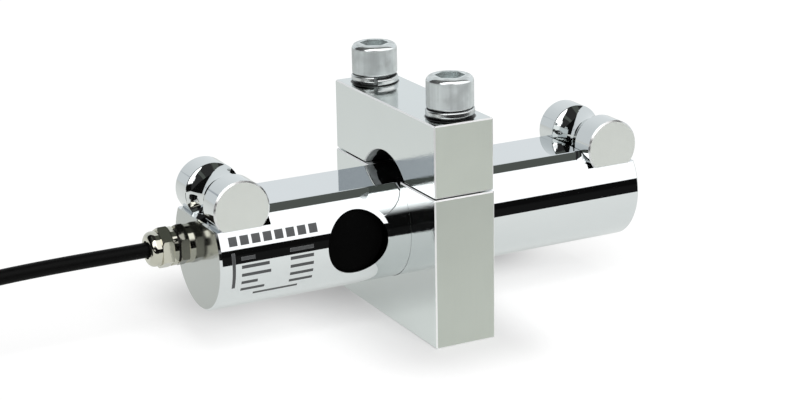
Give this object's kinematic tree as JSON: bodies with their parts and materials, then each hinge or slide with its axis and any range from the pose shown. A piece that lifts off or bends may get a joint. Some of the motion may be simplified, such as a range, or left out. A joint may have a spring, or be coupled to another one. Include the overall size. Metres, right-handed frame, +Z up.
{
  "type": "wire rope load cell",
  "caption": "Clamp-on load cell for a wire rope: a round beam in a split clamp block, with grooved rope saddles on its ends and a cable gland.",
  "frame": {"origin": "middle of the clamp block's underside, below the middle of the beam", "axes": "+X along the beam away from the cable gland, +Y across the beam towards the back, +Z up towards the clamp bolts"},
  "size_m": [0.3584, 0.1271, 0.1028],
  "materials": {
    "beam_chrome": "mirror bright nickel and chrome plate",
    "saddle_chrome": "bright plate, ground end faces",
    "block_plate": "bright plate over ground flats",
    "bolt_zinc": "satin zinc plate",
    "washer_zinc": "bright zinc plate",
    "pin_steel": "ground steel",
    "black_screw": "black oxide",
    "nickel_brass": "nickel plated, warm grey",
    "seal_rubber": "moulded rubber",
    "cage_plastic": "moulded polyamide",
    "cable_jacket": "smooth black jacket",
    "tie_plastic": "natural nylon",
    "core_plastic": "insulated wire",
    "board_laminate": "glass laminate",
    "gauge_foil": "polyimide film with etched foil",
    "potting_black": "cast black resin",
    "strand_red": "insulated wire",
    "strand_black": "insulated wire",
    "strand_green": "insulated wire",
    "strand_white": "insulated wire",
    "braid_copper": "tinned copper braid"
  },
  "bodies": {
    "root": {"beam_body": "beam_chrome", "left_rope_saddle": "saddle_chrome", "right_rope_saddle": "saddle_chrome", "lower_clamp_block": "block_plate", "upper_clamp_block": "block_plate", "front_clamp_bolt": "bolt_zinc", "back_clamp_bolt": "bolt_zinc", "front_spring_washer": "washer_zinc", "back_spring_washer": "washer_zinc", "left_front_saddle_pin": "pin_steel", "left_back_saddle_pin": "pin_steel", "right_front_saddle_pin": "pin_steel", "right_back_saddle_pin": "pin_steel", "block_grub_screw": "black_screw", "gland_body": "nickel_brass", "gland_dome_nut": "nickel_brass", "gland_seal": "seal_rubber", "gland_cage": "cage_plastic", "cable_entry": "cable_jacket", "cable_lead": "cable_jacket", "cable_coil": "cable_jacket", "cable_tie_1": "tie_plastic", "cable_tie_2": "tie_plastic", "signal_cores": "core_plastic", "terminal_board": "board_laminate", "front_strain_gauge": "gauge_foil", "back_strain_gauge": "gauge_foil", "front_potting": "potting_black", "back_potting": "potting_black", "strand_red": "strand_red", "strand_black": "strand_black", "strand_green": "strand_green", "strand_white": "strand_white", "strand_braid": "braid_copper"}
  },
  "joints": []
}
